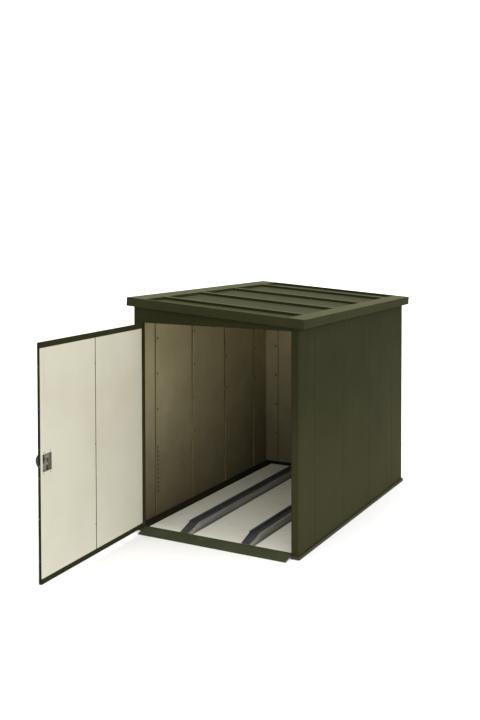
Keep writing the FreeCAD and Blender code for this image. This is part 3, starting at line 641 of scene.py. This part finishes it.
def prism(mesh, outline, run):
    """Adds a closed prism: the outline's points, drawn out along run."""
    near = [mesh.verts.new(place) for place in outline]
    far = [mesh.verts.new(place + run) for place in outline]
    mesh.faces.new(near)
    mesh.faces.new(far)
    for step in range(len(near)):
        after = (step + 1) % len(near)
        mesh.faces.new([near[step], near[after], far[after], far[step]])


def rubber():
    material, shader, place = new_finish("edge_rubber")
    grain = place.noise(300.0, detail=3.0)
    feed(shader, Base_Color=grain.fade(0.4, 0.8).blend(strip_black, strip_worn), Roughness=0.7 + 0.1 * grain)
    feed(shader, Specular_IOR_Level=rubber_gloss)
    return material


def edge_strip():
    strip = bmesh.new()
    near = leaf_low.y + strip_front_inset
    far = panel_high.y - strip_back_inset
    middle = (near + far) / 2
    rise = leaf_high.x + strip_rise
    section = [
        (leaf_high.x, near), (rise - strip_crown, near), (rise, middle),
        (rise - strip_crown, far), (leaf_high.x, far)]
    stretches = (
        (leaf_low.z + strip_end_inset, bolt_z - strip_bolt_gap),
        (bolt_z + strip_bolt_gap, leaf_high.z - strip_end_inset))
    for low, high in stretches:
        prism(strip, [Vector((x, y, low)) for x, y in section], Vector((0, 0, high - low)))
    bmesh.ops.transform(strip, matrix=to_open, verts=strip.verts)
    return strip


finished("door_edge_strip", edge_strip(), rubber(), "door")

# Edge rivets and panel screws of the door.
# Domed blind rivets close the skin along its free edge.
# Zinc-plated pan-head screws hold the panel joint and the lock case.
rivet_radius = 0.0042
rivet_rise = 0.0016
rivet_offsets = (0.082, 0.320, 0.566)
rivet_inset = 0.010
screw_radius = 0.0038
screw_rise = 0.0018
joint_inset = 0.006
joint_offsets = (-0.51, 0.0, 0.51)
lock_screw_out_x = 0.0300
lock_screw_out_z = 0.0625
head_sides = 16
leaf_middle_z = (leaf_low.z + leaf_high.z) / 2
rose_low, rose_high = closed_box("handle_rose")
lock_place = (rose_low + rose_high) / 2


def dome(radius, rise):
    """Profile of a low domed head, in shares of its radius and rise."""
    return [
        (0, 0), (radius, 0), (radius * 0.97, rise * 0.35), (radius * 0.78, rise * 0.75),
        (radius * 0.4, rise), (0, rise)]


def door_fixings():
    heads = bmesh.new()
    for offset in rivet_offsets:
        for side in (-1, 1):
            height = leaf_middle_z + side * offset
            seat = Vector((leaf_high.x + strip_rise, leaf_high.y - rivet_inset, height))
            turned(heads, seat, Vector((1, 0, 0)), dome(rivet_radius, rivet_rise), head_sides)
    for offset in joint_offsets:
        seat = Vector((panel_low.x + joint_inset, panel_high.y, leaf_middle_z + offset))
        turned(heads, seat, Vector((0, 1, 0)), dome(screw_radius, screw_rise), head_sides)
    for side_x in (-1, 1):
        for side_z in (-1, 1):
            place_x = lock_place.x + side_x * lock_screw_out_x
            seat = Vector((place_x, panel_high.y, lock_place.z + side_z * lock_screw_out_z))
            turned(heads, seat, Vector((0, 1, 0)), dome(screw_radius, screw_rise), head_sides)
    bmesh.ops.transform(heads, matrix=to_open, verts=heads.verts)
    return heads


finished("door_rivets_and_screws", door_fixings(), screw_finish, "door")

# Lock works.
# Pressed galvanised case and cam, with black-oxide rods and a zinc-plated centre bolt and strike plate.
case_dark = rgba((104, 101, 90))
case_light = rgba((138, 135, 123))
cam_dark = rgba((158, 155, 144))
cam_light = rgba((190, 187, 177))
oxide_dark = rgba((44, 41, 34))
oxide_light = rgba((70, 66, 56))
bolt_dark = rgba((110, 108, 99))
bolt_light = rgba((132, 130, 121))
wear(["lock_case"], galvanised("lock_case_zinc", case_dark, case_light, spangle=420.0, metallic=0.3))
wear(["lock_cam"], galvanised("lock_cam_zinc", cam_dark, cam_light, spangle=420.0, metallic=0.3))
bolt_zinc = galvanised("bolt_zinc", bolt_dark, bolt_light, spangle=600.0, metallic=0.4)
wear(["centre_bolt", "strike_plate"], bolt_zinc)
rod_oxide = galvanised("rod_oxide", oxide_dark, oxide_light, spangle=300.0, metallic=0.3)
wear(["lock_rod_top", "lock_rod_bottom"], rod_oxide)

# Rod guide.
# Moulded black nylon block in the lock case, screwed to its floor, with a foot that keeps the upper rod flat.
# Its outline is measured from the lock's centre, and its depth from the face of the skin.
guide_leg = (0.0265, 0.0420)
guide_foot_end = 0.0165
guide_low = 0.0135
guide_foot_high = 0.0255
guide_high = 0.0512
guide_near = 0.0109
guide_far = 0.0160
case_depth = 0.0025
guide_edge = 0.0006


def rod_guide():
    guide = bmesh.new()
    corners = [
        (guide_foot_end, guide_low), (guide_leg[1], guide_low), (guide_leg[1], guide_high),
        (guide_leg[0], guide_high), (guide_leg[0], guide_foot_high), (guide_foot_end, guide_foot_high)]
    front = leaf_low.y + guide_near
    face = [Vector((lock_place.x + x, front, lock_place.z + z)) for x, z in corners]
    prism(guide, face, Vector((0, guide_far - guide_near, 0)))
    base_corners = [
        (guide_leg[0], guide_low), (guide_leg[1], guide_low),
        (guide_leg[1], guide_high), (guide_leg[0], guide_high)]
    base = [Vector((lock_place.x + x, leaf_low.y + case_depth, lock_place.z + z)) for x, z in base_corners]
    prism(guide, base, Vector((0, guide_near - case_depth, 0)))
    bmesh.ops.bevel(guide, geom=guide.edges[:], offset=guide_edge, segments=2, affect="EDGES")
    bmesh.ops.transform(guide, matrix=to_open, verts=guide.verts)
    return guide


finished("lock_rod_guide", rod_guide(), nylon("guide_nylon"), "door")

# Handle, rose and key barrel.
# Cast grip in a fine-textured black coat, with a plated key barrel in its face.
black_coat = rgba((30, 30, 27))
black_rubbed = rgba((52, 51, 46))
barrel_dark = rgba((150, 150, 148))
barrel_light = rgba((206, 206, 203))
grain_depth = 0.00012


def handle_coat():
    material, shader, place = new_finish("handle_coat")
    grain = place.noise(900.0, detail=3.0)
    hands = place.noise(45.0, detail=3.0)
    feed(shader, Base_Color=hands.fade(0.4, 0.75).blend(black_coat, black_rubbed))
    feed(shader, Roughness=0.5 - 0.14 * hands.fade(0.45, 0.75), Normal=grain.bump(0.5, grain_depth))
    return material


wear(["turn_handle", "handle_rose"], handle_coat())


def barrel_plating():
    material, shader, place = new_finish("barrel_plating")
    brush = place.noise(1200.0, detail=2.0, stretch=(1.0, 1.0, 0.1))
    feed(shader, Base_Color=brush.fade(0.3, 0.7).blend(barrel_dark, barrel_light), Metallic=1.0)
    feed(shader, Roughness=0.2 + 0.12 * brush)
    return material


wear(["lock_barrel"], barrel_plating())

# Hinges.
# Zinc-plated lift-off hinges with rolled knuckles on steel pins. Domed rivets hold each plate to the post or
# the door, and their heads stand on the fronts of the plates.
hinge_dark = rgba((108, 108, 102))
hinge_light = rgba((124, 124, 117))
hinge_count = 3
hinge_length = 0.090
hinge_plate = 0.002
hinge_rivet_radius = 0.0044
hinge_rivet_rise = 0.0017
hinge_rivet_z = (-0.030, 0.0, 0.030)
post_rivet_x = (0.011,)
door_rivet_x = (-0.011, -0.034)
hinge_zinc = galvanised("hinge_zinc", hinge_dark, hinge_light, spangle=700.0, metallic=0.6)
wear(["hinge_post_leaves", "hinge_door_leaves", "hinge_pins"], hinge_zinc)


def plate_rivets(plate_end, plates, offsets_x):
    """Rivet heads on the plates of one side, with the door closed."""
    low, high = plates
    heads = bmesh.new()
    step = (high.z - low.z - hinge_length) / (hinge_count - 1)
    for number in range(hinge_count):
        middle_z = low.z + hinge_length / 2 + number * step
        for offset_x in offsets_x:
            for offset_z in hinge_rivet_z:
                seat = Vector((plate_end + offset_x, high.y - hinge_plate, middle_z + offset_z))
                profile = dome(hinge_rivet_radius, hinge_rivet_rise)
                turned(heads, seat, Vector((0, -1, 0)), profile, head_sides)
    return heads


post_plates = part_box("hinge_post_leaves")
post_rivets = plate_rivets(post_plates[0].x, post_plates, post_rivet_x)
finished("hinge_post_rivets", post_rivets, hinge_zinc, "shelter")
door_plates = closed_box("hinge_door_leaves")
door_rivets = plate_rivets(door_plates[1].x, door_plates, door_rivet_x)
bmesh.ops.transform(door_rivets, matrix=to_open, verts=door_rivets.verts)
finished("hinge_door_rivets", door_rivets, hinge_zinc, "door")

# Studio.
# A pale matt floor and backdrop, under a broad soft light high up.
# A level light from the right fills the wall and the open door, and weak ones come from the front and behind.
floor_size = 80.0
floor_gap = 0.0005
floor_colour = rgba((246, 246, 245))
floor_shade = rgba((244, 244, 243))
floor_gloss = 0.05
lamp_distance = 6.0
lamps = {
    "overhead_light": {"source": (0.1, -0.1, 0.99), "power": 3.6, "spread": 120.0},
    "fill_light": {"source": (0.93, -0.03, 0.36), "power": 1.8, "spread": 12.0},
    "rim_light": {"source": (-0.86, 0.46, 0.22), "power": 1.4, "spread": 50.0},
    "front_light": {"source": (0.3, -0.9, 0.3), "power": 0.8, "spread": 60.0},
}
backdrop_way = (-0.477, 0.879, 0.0)
backdrop_rim = 0.5
backdrop_heart = 0.92
backdrop = (1.2, 1.2, 1.2, 1.0)
surround_dim = (0.16, 0.16, 0.165, 1.0)


def studio_floor():
    material, shader, place = new_finish("studio_floor")
    tone = place.noise(0.6, detail=2.0)
    feed(shader, Base_Color=tone.blend(floor_colour, floor_shade))
    feed(shader, Roughness=0.9, Specular_IOR_Level=floor_gloss)
    sheet = bmesh.new()
    bmesh.ops.create_grid(sheet, x_segments=2, y_segments=2, size=floor_size / 2)
    data = bpy.data.meshes.new("studio_floor")
    sheet.to_mesh(data)
    sheet.free()
    data.materials.append(material)
    floor = bpy.data.objects.new("studio_floor", data)
    floor.location.z = cad_box[0][2] - floor_gap
    bpy.context.scene.collection.objects.link(floor)


def soft_light(name, source, power, spread):
    """A light from far off in the direction source. spread is the angle that it fills, in degrees."""
    lamp = bpy.data.lights.new(name, "SUN")
    lamp.energy = power
    lamp.angle = math.radians(spread)
    stand = bpy.data.objects.new(name, lamp)
    stand.rotation_euler = (-Vector(source)).to_track_quat("-Z", "Y").to_euler()
    stand.location = Vector(source) * lamp_distance
    bpy.context.scene.collection.objects.link(stand)


def studio_surround():
    """A dim room with a bright backdrop on the far side, which the camera sees all round."""
    surround = bpy.data.worlds.new("surround")
    surround.use_nodes = True
    here = Wire(surround.node_tree)
    along = here.node("ShaderNodeTexCoord", output="Generated").dot(backdrop_way)
    seen = here.node("ShaderNodeLightPath", output="Is Camera Ray")
    glow = along.fade(backdrop_rim, backdrop_heart).most(seen).blend(surround_dim, backdrop)
    feed(surround.node_tree.nodes["Background"], Color=glow)
    bpy.context.scene.world = surround
    bpy.context.scene.view_settings.view_transform = "Standard"


studio_floor()
for lamp_name, lamp_facts in lamps.items():
    soft_light(lamp_name, **lamp_facts)
studio_surround()

# Camera.
# Stands to the right of the doorway, a little over head height, nearly level, with the frame shifted down.
camera_place = (3.0174, -6.2079, 2.1148)
camera_azimuth = 28.49
camera_pitch = 1.88
camera_roll = -0.10
focal_pixels = 914.2
image_height = 720
image_width = 480
axis_pixel = (238.53, 255.08)
sensor = 36.0
view = bpy.data.cameras.new("camera")
view.sensor_width = sensor
view.lens = focal_pixels / image_height * sensor
view.shift_x = (image_width / 2 - axis_pixel[0]) / image_height
view.shift_y = (axis_pixel[1] - image_height / 2) / image_height
camera = bpy.data.objects.new("camera", view)
camera.location = camera_place
turn_to_view = (
    Matrix.Rotation(math.radians(camera_azimuth), 4, "Z")
    @ Matrix.Rotation(math.radians(90 - camera_pitch), 4, "X")
    @ Matrix.Rotation(math.radians(camera_roll), 4, "Z"))
camera.rotation_euler = turn_to_view.to_euler()
bpy.context.scene.collection.objects.link(camera)
bpy.context.scene.camera = camera
